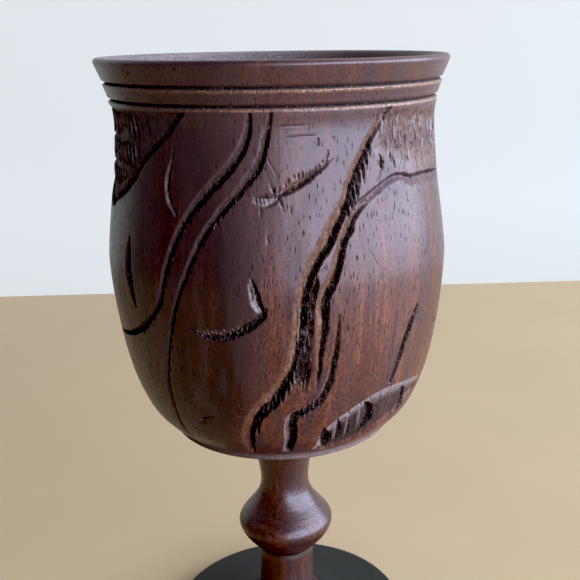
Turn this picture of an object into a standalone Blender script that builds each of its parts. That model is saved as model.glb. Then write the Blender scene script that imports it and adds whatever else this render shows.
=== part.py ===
"""A turned and carved hardwood communion chalice, as the pieces it comes apart into.

The bowl has a blind socket in its base. The stem has a spigot at each end: the upper one is glued
into the bowl, and the lower one goes through the foot, where a wedge driven into its saw kerf
spreads it. A baize disc covers the joint and rests on the table.

The origin is the middle of the base, on the table, with +Z up the axis. The dimensions below are in
millimetres, and the shapes are built in metres.
"""

import math

import bmesh
import bpy

MM = 0.001

# Driving dimensions. Heights are above the table, and radii are from the axis.
HEIGHT = 154.0
RIM_RADIUS = 40.5
RIM_WALL = 2.5
WAIST_RADIUS = 37.2
WAIST_HEIGHT = 139.5
BELLY_RADIUS = 40.3
BELLY_HEIGHT = 106.0
BAND_RADIUS = 27.5
BAND_TOP = 66.0
BAND_BOTTOM = 64.7
BOWL_SEAT_RADIUS = 9.2
BOWL_SEAT_HEIGHT = 57.0
CUP_FLOOR_HEIGHT = 72.4

# The two turned lines below the lip
UPPER_LINE_HEIGHT = 148.75
LOWER_LINE_HEIGHT = 145.1
LINE_HALF_WIDTH = 0.6
LINE_DEPTH = 0.8

# Stem
KNOP_RADIUS = 12.4
KNOP_HEIGHT = 33.7
NECK_RADIUS = 6.3
NECK_HEIGHT = 47.4
CREASE_HEIGHT = 26.3
LOWER_STEM_RADIUS = 7.1
STEM_BASE_RADIUS = 10.2

# Foot and base felt
FOOT_RADIUS = 31.75
FOOT_EDGE_HEIGHT = 5.7
FOOT_CROWN_HEIGHT = 9.4
FOOT_HOLLOW_RADIUS = 21.0
FOOT_HOLLOW_DEPTH = 0.6
FELT_RADIUS = 29.0
FELT_THICKNESS = 1.5

# Joints between the pieces
GLUE_GAP = 0.3
UPPER_SPIGOT_RADIUS = 5.2
UPPER_SPIGOT_LENGTH = 8.0
LOWER_SPIGOT_RADIUS = 5.5
WEDGE_LENGTH = 5.6
WEDGE_WIDTH = 10.2
WEDGE_THICK_END = 1.9
WEDGE_THIN_END = 0.7

SPIGOT_CHAMFER = 0.6
LIP_ROUND = 0.9
BAND_ROUND = 0.6

# How finely curves and turnings are divided
CURVE_STEPS = 2
BOWL_SEGMENTS = 60
STEM_SEGMENTS = 36
FOOT_SEGMENTS = 60

FOOT_UNDERSIDE = FELT_THICKNESS + GLUE_GAP
STEM_TOP = BOWL_SEAT_HEIGHT - GLUE_GAP
STEM_BOTTOM = FOOT_CROWN_HEIGHT + GLUE_GAP
SPIGOT_BOTTOM = FOOT_UNDERSIDE + GLUE_GAP


def clear_scene():
    """Remove whatever the scene opened with."""
    for existing in list(bpy.data.objects):
        bpy.data.objects.remove(existing, do_unlink=True)


def make_collection(name):
    """Return a new collection linked to the scene."""
    collection = bpy.data.collections.new(name)
    bpy.context.scene.collection.children.link(collection)
    return collection


def make_material(name, colour, roughness, metallic=0.0):
    """Return a Principled material."""
    material = bpy.data.materials.new(name)
    material.use_nodes = True
    shader = material.node_tree.nodes["Principled BSDF"]
    shader.inputs["Base Color"].default_value = (*colour, 1.0)
    shader.inputs["Roughness"].default_value = roughness
    shader.inputs["Metallic"].default_value = metallic
    material.diffuse_color = (*colour, 1.0)
    return material


def curve_through(stations, steps):
    """Points of a Catmull-Rom curve through (radius, height) stations, with steps points a span."""
    first = [2 * a - b for a, b in zip(stations[0], stations[1])]
    last = [2 * a - b for a, b in zip(stations[-1], stations[-2])]
    padded = [first, *stations, last]
    points = []
    for span in range(len(stations) - 1):
        before, start, end, after = padded[span : span + 4]
        for step in range(steps):
            t = step / steps
            points.append(tuple(
                0.5 * (2 * p1 + (p2 - p0) * t + (2 * p0 - 5 * p1 + 4 * p2 - p3) * t**2
                       + (3 * p1 - p0 - 3 * p2 + p3) * t**3)
                for p0, p1, p2, p3 in zip(before, start, end, after)
            ))
    points.append(tuple(stations[-1]))
    return points


def arc(centre, radius, start, end, steps):
    """Points of an arc from start to end degrees, measured from outwards towards up."""
    points = []
    for step in range(steps + 1):
        angle = math.radians(start + (end - start) * step / steps)
        points.append((centre[0] + radius * math.cos(angle), centre[1] + radius * math.sin(angle)))
    return points


def turned_line(radius, height):
    """The V of a turned line, from its upper arris to its lower one."""
    return [
        (radius + 0.12, height + LINE_HALF_WIDTH),
        (radius - LINE_DEPTH, height),
        (radius - 0.12, height - LINE_HALF_WIDTH),
    ]


def turned(name, outline, segments, material, collection, closed=False):
    """A solid of revolution. The outline holds (radius, height) and runs down its outer side."""
    mesh = bpy.data.meshes.new(name)
    vertices = [(radius * MM, 0.0, height * MM) for radius, height in outline]
    edges = [(i, i + 1) for i in range(len(vertices) - 1)]
    if closed:
        edges.append((len(vertices) - 1, 0))
    mesh.from_pydata(vertices, edges, [])
    piece = bpy.data.objects.new(name, mesh)
    collection.objects.link(piece)
    mesh.materials.append(material)
    screw = piece.modifiers.new("Turning", "SCREW")
    screw.axis = "Z"
    screw.angle = math.tau
    screw.steps = segments
    screw.render_steps = segments
    screw.use_merge_vertices = True
    screw.merge_threshold = 0.00001
    screw.use_smooth_shade = True
    return piece


def tapered_blade(name, width, thick_end, thin_end, bottom, top, collection):
    """A blade along X, thick_end across at its bottom and thin_end across at its top."""
    mesh = bpy.data.meshes.new(name)
    shape = bmesh.new()
    bmesh.ops.create_cube(shape, size=1.0)
    for vertex in shape.verts:
        upper = vertex.co.z > 0
        vertex.co.x *= width * MM
        vertex.co.y *= (thin_end if upper else thick_end) * MM
        vertex.co.z = (top if upper else bottom) * MM
    shape.to_mesh(mesh)
    shape.free()
    blade = bpy.data.objects.new(name, mesh)
    collection.objects.link(blade)
    return blade


def settle(piece):
    """Turn the modifiers' result into the piece's own mesh, smooth apart from its arrises."""
    graph = bpy.context.evaluated_depsgraph_get()
    mesh = bpy.data.meshes.new_from_object(piece.evaluated_get(graph))
    mesh.name = piece.name
    piece.modifiers.clear()
    piece.data = mesh
    mesh.shade_smooth()
    mesh.set_sharp_from_angle(angle=math.radians(28))


def make_bowl(wood, collection):
    """The cup: flared lip, two turned lines, waist, belly, bottom band and a socket in its base."""
    inside = curve_through(
        [
            (0.0, CUP_FLOOR_HEIGHT),
            (9.0, CUP_FLOOR_HEIGHT + 0.5),
            (21.0, 76.0),
            (30.0, 84.0),
            (34.6, 95.0),
            (35.8, BELLY_HEIGHT + 3.0),
            (34.6, 127.0),
            (34.2, WAIST_HEIGHT),
            (35.6, 148.0),
            (RIM_RADIUS - RIM_WALL, HEIGHT - 0.7),
        ],
        CURVE_STEPS,
    )
    edge = arc((RIM_RADIUS - LIP_ROUND, HEIGHT - LIP_ROUND), LIP_ROUND, 150, 10, 3)
    upper_line = turned_line(38.9, UPPER_LINE_HEIGHT)
    lower_line = turned_line(37.85, LOWER_LINE_HEIGHT)
    side = curve_through(
        [
            (37.7, LOWER_LINE_HEIGHT - LINE_HALF_WIDTH - 0.2),
            (WAIST_RADIUS, WAIST_HEIGHT),
            (38.15, 127.0),
            (39.95, 113.5),
            (BELLY_RADIUS, BELLY_HEIGHT),
            (39.1, 93.5),
            (36.8, 81.5),
            (33.4, 72.6),
            (30.2, 68.4),
            (BAND_RADIUS + 0.1, BAND_TOP),
        ],
        CURVE_STEPS,
    )
    band = arc((BAND_RADIUS - BAND_ROUND - 0.1, BAND_BOTTOM + BAND_ROUND), BAND_ROUND, 5, -65, 2)
    underside = curve_through(
        [
            (BAND_RADIUS - 1.4, BAND_BOTTOM - 0.1),
            (18.0, 60.2),
            (BOWL_SEAT_RADIUS, BOWL_SEAT_HEIGHT),
        ],
        CURVE_STEPS,
    )
    socket_radius = UPPER_SPIGOT_RADIUS + GLUE_GAP
    socket_top = STEM_TOP + UPPER_SPIGOT_LENGTH + GLUE_GAP
    socket = [(socket_radius, BOWL_SEAT_HEIGHT), (socket_radius, socket_top), (0.0, socket_top)]
    outline = inside + edge + upper_line + lower_line + side + band + underside + socket
    return turned("bowl", outline, BOWL_SEGMENTS, wood, collection)


def make_stem(wood, collection, cutters):
    """The baluster stem, with a spigot at each end and a saw kerf in the lower one."""
    spigot_top = STEM_TOP + UPPER_SPIGOT_LENGTH
    upper_spigot = [
        (0.0, spigot_top),
        (UPPER_SPIGOT_RADIUS - SPIGOT_CHAMFER, spigot_top),
        (UPPER_SPIGOT_RADIUS, spigot_top - SPIGOT_CHAMFER),
        (UPPER_SPIGOT_RADIUS, STEM_TOP),
    ]
    neck_and_knop = curve_through(
        [
            (8.9, STEM_TOP),
            (7.5, 54.2),
            (NECK_RADIUS, NECK_HEIGHT),
            (6.6, 43.4),
            (8.3, 40.1),
            (10.6, 37.2),
            (11.9, 35.4),
            (KNOP_RADIUS, KNOP_HEIGHT),
            (11.7, 31.5),
            (10.0, 29.1),
            (7.9, CREASE_HEIGHT + 0.5),
        ],
        CURVE_STEPS,
    )
    crease = [(LOWER_STEM_RADIUS - 0.2, CREASE_HEIGHT)]
    lower_stem = curve_through(
        [
            (LOWER_STEM_RADIUS + 0.2, CREASE_HEIGHT - 0.6),
            (LOWER_STEM_RADIUS, 19.0),
            (7.9, 13.0),
            (STEM_BASE_RADIUS, STEM_BOTTOM),
        ],
        CURVE_STEPS,
    )
    lower_spigot = [
        (LOWER_SPIGOT_RADIUS, STEM_BOTTOM),
        (LOWER_SPIGOT_RADIUS, SPIGOT_BOTTOM + SPIGOT_CHAMFER),
        (LOWER_SPIGOT_RADIUS - SPIGOT_CHAMFER, SPIGOT_BOTTOM),
        (0.0, SPIGOT_BOTTOM),
    ]
    outline = upper_spigot + neck_and_knop + crease + lower_stem + lower_spigot
    stem = turned("stem", outline, STEM_SEGMENTS, wood, collection)
    kerf = tapered_blade(
        "kerf_cutter",
        3 * LOWER_SPIGOT_RADIUS,
        WEDGE_THICK_END + 2 * GLUE_GAP,
        WEDGE_THIN_END + 2 * GLUE_GAP,
        SPIGOT_BOTTOM,
        SPIGOT_BOTTOM + WEDGE_LENGTH + GLUE_GAP,
        cutters,
    )
    # The cutter's lower face stands clear of the spigot's end, so the kerf opens cleanly.
    for vertex in kerf.data.vertices:
        if vertex.co.z < (SPIGOT_BOTTOM + GLUE_GAP) * MM:
            vertex.co.z -= MM
    kerf.hide_render = True
    kerf.display_type = "WIRE"
    cut = stem.modifiers.new("Kerf", "BOOLEAN")
    cut.operation = "DIFFERENCE"
    cut.solver = "EXACT"
    cut.object = kerf
    return stem


def make_foot(wood, collection):
    """The ebonised disc, bored for the spigot and hollowed a little underneath."""
    bore = LOWER_SPIGOT_RADIUS + GLUE_GAP
    crown = curve_through(
        [
            (STEM_BASE_RADIUS + 0.6, FOOT_CROWN_HEIGHT),
            (17.0, FOOT_CROWN_HEIGHT - 1.5),
            (25.0, FOOT_EDGE_HEIGHT + 0.85),
            (FOOT_RADIUS - 1.6, FOOT_EDGE_HEIGHT + 0.1),
        ],
        CURVE_STEPS,
    )
    edge_radius = 1.6
    edge = arc((FOOT_RADIUS - edge_radius, FOOT_EDGE_HEIGHT - edge_radius), edge_radius, 75, -35, 4)
    underside = [
        (FOOT_RADIUS - 1.1, FOOT_UNDERSIDE),
        (FOOT_HOLLOW_RADIUS, FOOT_UNDERSIDE),
        (FOOT_HOLLOW_RADIUS - 1.0, FOOT_UNDERSIDE + FOOT_HOLLOW_DEPTH),
        (bore, FOOT_UNDERSIDE + FOOT_HOLLOW_DEPTH),
    ]
    outline = [(bore, FOOT_CROWN_HEIGHT)] + crown + edge + underside
    return turned("foot", outline, FOOT_SEGMENTS, wood, collection, closed=True)


def make_base_felt(felt, collection):
    """The baize disc under the foot, with its cut edge slightly eased."""
    ease = 0.3
    outline = [
        (0.0, FELT_THICKNESS),
        (FELT_RADIUS - ease, FELT_THICKNESS),
        (FELT_RADIUS, FELT_THICKNESS - ease),
        (FELT_RADIUS, ease),
        (FELT_RADIUS - ease, 0.0),
        (0.0, 0.0),
    ]
    return turned("base_felt", outline, FOOT_SEGMENTS, felt, collection)


def make_foot_wedge(wood, collection):
    """The hardwood wedge that spreads the lower spigot inside the foot."""
    wedge = tapered_blade(
        "foot_wedge",
        WEDGE_WIDTH,
        WEDGE_THICK_END,
        WEDGE_THIN_END,
        SPIGOT_BOTTOM,
        SPIGOT_BOTTOM + WEDGE_LENGTH,
        collection,
    )
    wedge.data.materials.append(wood)
    return wedge


def main():
    clear_scene()
    chalice = make_collection("communion_chalice")
    cutters = make_collection("cutters")
    bowl_wood = make_material("bowl_wood", (0.125, 0.045, 0.030), 0.38)
    stem_wood = make_material("stem_wood", (0.140, 0.052, 0.030), 0.36)
    foot_wood = make_material("foot_wood", (0.020, 0.021, 0.019), 0.45)
    wedge_wood = make_material("wedge_wood", (0.400, 0.250, 0.120), 0.60)
    base_felt = make_material("base_felt", (0.015, 0.060, 0.030), 0.95)
    turned_pieces = [
        make_bowl(bowl_wood, chalice),
        make_stem(stem_wood, chalice, cutters),
        make_foot(foot_wood, chalice),
        make_base_felt(base_felt, chalice),
    ]
    for piece in turned_pieces:
        settle(piece)
    make_foot_wedge(wedge_wood, chalice)


main()
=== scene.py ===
# %% [markdown]
# # A carved wooden chalice
# This lesson dresses a finished model of a communion chalice. The frame below holds the plain turned
# pieces at their true size: bowl, stem, foot, wedge and base felt. The bowl gets a new surface with its
# gouged carving, the stem and foot get finely turned surfaces, and every piece gets a wood or felt
# finish made from nodes. Nothing is read from disk but the frame.

# %% Load the frame
import math

import bpy
import numpy as np
from mathutils import Matrix, Vector


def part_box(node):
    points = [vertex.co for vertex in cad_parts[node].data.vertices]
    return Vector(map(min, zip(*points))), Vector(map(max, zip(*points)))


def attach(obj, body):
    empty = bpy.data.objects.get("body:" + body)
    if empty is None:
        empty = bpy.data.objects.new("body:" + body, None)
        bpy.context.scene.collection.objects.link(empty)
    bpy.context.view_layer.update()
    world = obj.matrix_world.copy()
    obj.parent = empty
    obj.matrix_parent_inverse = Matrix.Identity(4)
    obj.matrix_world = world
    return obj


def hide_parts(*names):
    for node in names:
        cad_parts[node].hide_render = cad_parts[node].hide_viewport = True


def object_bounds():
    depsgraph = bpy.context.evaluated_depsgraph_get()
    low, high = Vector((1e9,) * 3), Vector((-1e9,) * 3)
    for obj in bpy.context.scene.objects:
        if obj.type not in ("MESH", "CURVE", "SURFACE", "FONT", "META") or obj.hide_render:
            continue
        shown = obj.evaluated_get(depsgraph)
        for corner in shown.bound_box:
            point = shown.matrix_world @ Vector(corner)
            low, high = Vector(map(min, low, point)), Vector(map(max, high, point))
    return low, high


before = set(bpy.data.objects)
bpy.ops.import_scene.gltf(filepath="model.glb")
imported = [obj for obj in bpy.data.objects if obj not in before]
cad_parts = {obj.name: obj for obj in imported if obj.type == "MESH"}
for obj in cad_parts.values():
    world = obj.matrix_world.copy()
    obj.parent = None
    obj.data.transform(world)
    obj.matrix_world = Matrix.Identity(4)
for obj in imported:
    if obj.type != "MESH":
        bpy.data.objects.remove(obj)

cad_low, cad_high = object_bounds()
HEIGHT = cad_high.z
RIM_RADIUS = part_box("bowl")[1].x
print("pieces in the frame:", ", ".join(sorted(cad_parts)))
print(f"height {HEIGHT * 1000:.1f} mm, rim {RIM_RADIUS * 2000:.1f} mm across")

# %% [markdown]
# ## The camera
# The chalice is seen from close in front, from a little above its rim, so the foot runs out of the
# picture. A camera is placed best from what can be paced out: how far it is from the axis, how far
# above the rim, how far it looks down, and how far it is turned and tilted. The three directions are
# built as vectors and put in a matrix, because that keeps the small turn and tilt separate.

# %% Place the camera
CAMERA_REACH = 0.2075
CAMERA_ABOVE_RIM = 0.005
LOOK_DOWN = math.radians(16.6)
TURN = math.radians(2.8)
TILT = math.radians(0.8)
LENS = 53.9
SHIFT = -0.052


def place_camera():
    """Make the camera from its reach, height and three angles."""
    sideways = Vector((math.cos(TURN), -math.sin(TURN), 0))
    level = Vector((math.sin(TURN), math.cos(TURN), 0))
    up = level * math.sin(LOOK_DOWN) + Vector((0, 0, math.cos(LOOK_DOWN)))
    right_edge = sideways * math.cos(TILT) - up * math.sin(TILT)
    top_edge = sideways * math.sin(TILT) + up * math.cos(TILT)
    data = bpy.data.cameras.new("viewer")
    data.lens = LENS
    data.shift_x = SHIFT
    data.clip_start = 0.01
    camera = bpy.data.objects.new("viewer", data)
    bpy.context.scene.collection.objects.link(camera)
    turned = Matrix((right_edge, top_edge, right_edge.cross(top_edge))).transposed()
    place = Matrix.Translation((0, -CAMERA_REACH, HEIGHT + CAMERA_ABOVE_RIM))
    camera.matrix_world = place @ turned.to_4x4()
    bpy.context.scene.camera = camera


place_camera()
print(f"camera {CAMERA_REACH * 1000:.0f} mm from the axis, lens {LENS} mm")

# %% [markdown]
# ## Nodes written as sums
# A finish is a lot of small sums: a mask here, a streak there, one minus the other. Written as nodes one
# by one they fill pages. A small class that wraps a socket and knows plus, minus, times and so on lets a
# finish be written as plain Python, and each sum still becomes a Math node that anyone can open in
# the shader editor.

# %% Wrap a socket in arithmetic
class Flow:
    """The output of a node, with Python's arithmetic on it."""

    def __init__(self, finish, socket):
        self.finish = finish
        self.socket = socket

    def sum_with(self, operation, *others, clamp=False):
        """A Math node on this value and the others."""
        settings = {"operation": operation, "use_clamp": clamp}
        return self.finish.node("ShaderNodeMath", settings, dict(enumerate((self, *others))))

    def __add__(self, other):
        return self.sum_with("ADD", other)

    def __radd__(self, other):
        return self.sum_with("ADD", other)

    def __sub__(self, other):
        return self.sum_with("SUBTRACT", other)

    def __rsub__(self, other):
        settings = {"operation": "SUBTRACT"}
        return self.finish.node("ShaderNodeMath", settings, {0: other, 1: self})

    def __mul__(self, other):
        return self.sum_with("MULTIPLY", other)

    def __truediv__(self, other):
        return self.sum_with("DIVIDE", other)

    def held(self):
        """The value kept between 0 and 1."""
        return self.sum_with("ADD", 0.0, clamp=True)

    def between(self, low, high):
        """0 below low and 1 above high, with a smooth rise between them."""
        settings = {"interpolation_type": "SMOOTHSTEP"}
        return self.finish.node("ShaderNodeMapRange", settings, {0: self, 1: low, 2: high})


class Finish:
    """A material and the one way that nodes are added to it."""

    def __init__(self, name):
        self.material = bpy.data.materials.new(name)
        self.material.use_nodes = True
        self.tree = self.material.node_tree
        self.shader = self.tree.nodes["Principled BSDF"]
        self.place = self.node("ShaderNodeTexCoord", output="Object")

    def node(self, kind, settings=None, sockets=None, output=0):
        """Add a node: its settings first, then the values or links of its sockets."""
        made = self.tree.nodes.new(kind)
        for name, value in (settings or {}).items():
            if name == "stops":
                self.set_stops(made.color_ramp, value)
            else:
                setattr(made, name, value)
        self.feed(made, sockets or {})
        return Flow(self, made.outputs[output])

    def set_stops(self, ramp, stops):
        """Give a colour ramp its (place, colour) stops."""
        while len(ramp.elements) < len(stops):
            ramp.elements.new(0.5)
        for element, (place, colour) in zip(ramp.elements, stops):
            element.position = place
            element.color = (*colour, 1.0)

    def feed(self, made, sockets):
        """Link or set each named or numbered socket of a node."""
        for name, value in sockets.items():
            if isinstance(value, Flow):
                self.tree.links.new(value.socket, made.inputs[name])
            elif isinstance(value, tuple) and made.inputs[name].type == "RGBA":
                made.inputs[name].default_value = (*value, 1.0)
            else:
                made.inputs[name].default_value = value

    def stretched(self, across, along):
        """Where the point is, counted in cells that are across wide and along tall, in metres."""
        scale = (1 / across, 1 / across, 1 / along)
        return self.node("ShaderNodeVectorMath", {"operation": "MULTIPLY"}, {0: self.place, 1: scale})

    def cloud(self, place, detail=3.0, rough=0.5, warp=0.0):
        """Noise of about 0 to 1 on coordinates already counted in cells."""
        sockets = {"Vector": place, "Scale": 1.0, "Detail": detail, "Roughness": rough, "Distortion": warp}
        return self.node("ShaderNodeTexNoise", {}, sockets)

    def grain(self, across, along, detail=3.0, rough=0.5, warp=0.0):
        """Noise in upright cells of that size, which is how wood fibre runs."""
        return self.cloud(self.stretched(across, along), detail, rough, warp)

    def blend(self, mask, first, second):
        """A colour that goes from first to second as mask goes from 0 to 1."""
        return self.node("ShaderNodeMix", {"data_type": "RGBA"}, {0: mask, 6: first, 7: second}, 2)

    def stored(self, name):
        """A number kept on the mesh, such as how deep the gouge went there."""
        return self.node("ShaderNodeAttribute", {"attribute_name": name}, output="Fac")


print("shader helpers ready")

# %% [markdown]
# ## Turning on the lathe
# Every piece here but the wedge came off a lathe, so each one starts as an outline of radius and height,
# swept round the axis. A Screw modifier would do that, but the bowl then has to be cut by hundreds of
# gouge strokes. Sweeping the outline into arrays keeps every point's place round the bowl and down its
# side at hand, so a stroke can be a sum on those arrays. Lengths here are millimetres until the mesh
# is made.

# %% Outlines
MM = 0.001
TOP = HEIGHT / MM
RIM = RIM_RADIUS / MM


def smooth_run(stations, spacing):
    """A Catmull-Rom curve through the stations, with points about spacing apart."""
    stations = np.array(stations, float)
    padded = np.vstack([2 * stations[0] - stations[1], stations, 2 * stations[-1] - stations[-2]])
    runs = []
    for span in range(len(stations) - 1):
        p0, p1, p2, p3 = padded[span : span + 4]
        length = np.hypot(*(p2 - p1)[:2])
        t = np.linspace(0, 1, max(2, int(np.ceil(length / spacing)) + 1))[:-1, None]
        bend = (2 * p0 - 5 * p1 + 4 * p2 - p3) * t**2 + (3 * p1 - p0 - 3 * p2 + p3) * t**3
        runs.append(0.5 * (2 * p1 + (p2 - p0) * t + bend))
    return np.vstack([*runs, stations[-1:]])


def round_over(centre, radius, start, end, steps):
    """An arc of an outline, from start to end degrees, 0 pointing outwards and 90 up."""
    angle = np.radians(np.linspace(start, end, steps))
    return np.c_[centre[0] + radius * np.cos(angle), centre[1] + radius * np.sin(angle)]


def straight(first, last, spacing):
    """A straight stretch of an outline, without its last point."""
    steps = max(1, int(np.ceil(np.hypot(last[0] - first[0], last[1] - first[1]) / spacing)))
    t = np.linspace(0, 1, steps + 1)[:-1, None]
    return np.array(first) * (1 - t) + np.array(last) * t


print(f"outline sample has {len(smooth_run([(0, 0), (10, 0)], 0.5))} points")

# %% Sweep an outline into a mesh
def swept_faces(rows, columns, closed):
    """Corner numbers of the quads between rings and, on an open outline, of the fans at its two ends."""
    ring = np.arange(rows * columns).reshape(rows, columns)
    upper = ring if closed else ring[:-1]
    lower = np.roll(ring, -1, axis=0) if closed else ring[1:]
    quads = np.stack([upper, lower, np.roll(lower, -1, axis=1), np.roll(upper, -1, axis=1)], axis=-1)
    if closed:
        return quads.reshape(-1, 4), np.empty((0, 3), int)
    first, last = np.full(columns, rows * columns), np.full(columns, rows * columns + 1)
    top_fan = np.stack([first, ring[0], np.roll(ring[0], -1)], axis=-1)
    end_fan = np.stack([ring[-1], last, np.roll(ring[-1], -1)], axis=-1)
    return quads.reshape(-1, 4), np.vstack([top_fan, end_fan])


def sweep(name, outline, columns, sunk=None, marks=None, closed=False):
    """A turned mesh. sunk is how far each point is pressed into the surface, and marks are kept on it."""
    along = np.gradient(outline, axis=0)
    along /= np.maximum(np.hypot(along[:, 0], along[:, 1]), 1e-9)[:, None]
    rings, along = (outline, along) if closed else (outline[1:-1], along[1:-1])
    pressed = np.zeros((len(rings), columns)) if sunk is None else sunk
    turn = np.linspace(0, math.tau, columns, endpoint=False)
    radius = rings[:, :1] + pressed * along[:, 1:]
    height = rings[:, 1:] - pressed * along[:, :1]
    points = np.stack([radius * np.sin(turn), -radius * np.cos(turn), height], axis=-1).reshape(-1, 3)
    if not closed:
        points = np.vstack([points, (0, 0, outline[0, 1]), (0, 0, outline[-1, 1])])
    quads, fans = swept_faces(len(rings), columns, closed)
    mesh = bpy.data.meshes.new(name)
    mesh.vertices.add(len(points))
    mesh.vertices.foreach_set("co", (points * MM).astype(np.float32).ravel())
    mesh.loops.add(quads.size + fans.size)
    mesh.loops.foreach_set("vertex_index", np.concatenate([quads.ravel(), fans.ravel()]).astype(np.int32))
    mesh.polygons.add(len(quads) + len(fans))
    starts = np.concatenate([np.arange(len(quads)) * 4, quads.size + np.arange(len(fans)) * 3])
    mesh.polygons.foreach_set("loop_start", starts.astype(np.int32))
    mesh.update(calc_edges=True)
    mesh.validate()
    for label, values in (marks or {}).items():
        held = np.zeros(len(points), np.float32)
        held[: values.size] = values.ravel()
        mesh.attributes.new(label, "FLOAT", "POINT").data.foreach_set("value", held)
    mesh.shade_smooth()
    piece = bpy.data.objects.new(name, mesh)
    bpy.context.scene.collection.objects.link(piece)
    print(f"{name}: {len(points)} points, {len(mesh.polygons)} faces")
    return piece


print("sweep ready")

# %% [markdown]
# ## The bowl's outline
# The cup is one block of hardwood: a flared lip, two lines cut with the point of a skew chisel, a slight
# waist, a belly, and a narrow band where the carving stops. The inside follows the outside and leaves
# a wall of three to five millimetres. The carved side gets close rings, because the gouge cuts need
# them, and the rest gets as few as its curves allow.

# %% Draw the bowl's outline
LINE_HEIGHTS = (148.75, 145.1)
LINE_HALF_WIDTH = 0.55
LINE_DEPTH = 0.85
ARRIS = 0.16
CARVED_TOP = 144.3
CARVED_FOOT = 66.0
CUP_FLOOR = 72.4
SEAT_HEIGHT = 57.0
SOCKET_RADIUS = 5.5
SOCKET_TOP = 65.0
RING_SPACING = 0.26
LIP_ROUND = 0.95
BESIDE_LINE = 0.75


def skewed_line(radius, height):
    """The V of a turned line, with arrises that the sanding has just eased."""
    half, bottom = LINE_HALF_WIDTH, radius - LINE_DEPTH
    stations = [
        (radius + ARRIS, height + half + ARRIS),
        (radius + 0.06, height + half),
        (bottom + 0.05, height + ARRIS / 2),
        (bottom, height),
        (bottom + 0.05, height - ARRIS / 2),
        (radius - 0.10, height - half),
        (radius - ARRIS, height - half - ARRIS),
    ]
    return np.array(stations)


def bowl_outline():
    """The outline from the cup's floor, over the lip, down the outside to the socket."""
    inside = smooth_run(
        [(0, CUP_FLOOR), (9, 72.9), (21, 76), (30, 84), (34.6, 95), (35.8, 109), (34.6, 127),
         (34.2, 139.5), (35.6, 148), (38.0, TOP - 0.8)], 1.4)
    upper_line, lower_line = LINE_HEIGHTS
    lip = round_over((RIM - LIP_ROUND, TOP - LIP_ROUND), LIP_ROUND, 125, 0, 12)
    flare = straight((RIM, TOP - 1.0), (39.05, upper_line + BESIDE_LINE), 0.5)
    band = straight((38.72, upper_line - BESIDE_LINE), (37.95, lower_line + BESIDE_LINE), 0.5)
    carved = smooth_run(
        [(37.7, CARVED_TOP), (37.2, 139.5), (38.15, 127), (39.95, 113.5), (40.3, 106), (39.1, 93.5),
         (36.8, 81.5), (33.4, 72.6), (30.2, 68.4), (27.65, CARVED_FOOT)], RING_SPACING)
    foot_band = np.array([(27.5, 65.75), (27.4, 65.4)])
    foot_edge = round_over((26.8, 65.2), 0.6, 0, -70, 5)
    under = smooth_run([(26.0, 64.5), (18, 60.2), (9.6, 57.2)], 1.5)
    socket = np.array([(9.2, SEAT_HEIGHT), (SOCKET_RADIUS, SEAT_HEIGHT), (SOCKET_RADIUS, SOCKET_TOP),
                       (0, SOCKET_TOP)])
    above = [inside, lip, flare, skewed_line(38.9, upper_line), band, skewed_line(37.85, lower_line)]
    first_carved = sum(len(part) for part in above)
    whole = np.vstack([*above, carved, foot_band, foot_edge, under, socket])
    return whole, slice(first_carved, first_carved + len(carved))


outline, carved_rows = bowl_outline()
print(f"bowl outline: {len(outline)} points, {carved_rows.stop - carved_rows.start} of them carved")

# %% [markdown]
# ## Laying the carved side out flat
# A carver draws the stems on the turned cup in pencil and follows them with a V tool and a small gouge.
# Here the side of the cup is laid out flat: one axis is the turn round the cup, the other is the distance
# down its side. A cut is a route over that sheet, with a half width at each station. For each point near
# the route the sums below find which side of it the point is on and how far along, and that is enough
# to give the cut any section. Distances are true millimetres, so a cut keeps its width at the narrow foot.

# %% Lay out the carved side
MEAN_RADIUS = 38.5
ROUTE_SPACING = 0.2
THINNEST = 0.02
BEYOND_CUT = 0.6
FAR_AWAY = 1e3
COLUMNS = 960


def ease(value):
    """0 to 1 with soft ends."""
    kept = np.clip(value, 0, 1)
    return kept * kept * (3 - 2 * kept)


class Side:
    """The carved side laid out flat: how deep, dark, bare, pale and torn each point is. Dark is stain with
    painted shade, bare is wear with painted light, and pale is painted highlight.
    """

    def __init__(self, side, columns):
        self.radius, self.height = side.T
        self.down = np.concatenate([[0], np.cumsum(np.hypot(*np.diff(side, axis=0).T))])
        self.turn = np.linspace(0, math.tau, columns, endpoint=False)
        self.deep, self.dark, self.bare, self.pale, self.fuzz = np.zeros((5, len(side), columns))

    def raise_to(self, mark, patch, values):
        """Keep the greater of what a mark already holds in a patch and the new values."""
        held = getattr(self, mark)
        held[patch] = np.maximum(held[patch], values)

    def down_at(self, height):
        """How far down the side a height is."""
        return np.interp(height, self.height[::-1], self.down[::-1])

    def window(self, turn, down, reach):
        """Rows and unwrapped columns within reach of a point."""
        first, last = np.searchsorted(self.down, [down - reach, down + reach])
        radius = np.interp(down, self.down, self.radius)
        step = math.tau / len(self.turn)
        left = math.floor((turn - reach / radius) / step)
        right = math.ceil((turn + reach / radius) / step) + 1
        return first, last, left, right

    def fibres(self, across, along, seed):
        """Smooth random numbers from -1 to 1 in cells of that size, all the way round the cup."""
        random = np.random.default_rng(seed)
        cells_round = max(4, round(math.tau * MEAN_RADIUS / across))
        cells_down = math.ceil(self.down[-1] / along) + 2
        lattice = random.uniform(-1, 1, (cells_down, cells_round))
        x = self.turn / math.tau * cells_round
        y = self.down / along
        column, row = x.astype(int), y.astype(int)
        fx, fy = ease(x - column)[None, :], ease(y - row)[:, None]
        following = (column + 1) % cells_round
        upper = lattice[row][:, column] * (1 - fx) + lattice[row][:, following] * fx
        lower = lattice[row + 1][:, column] * (1 - fx) + lattice[row + 1][:, following] * fx
        return upper * (1 - fy) + lower * fy


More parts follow.
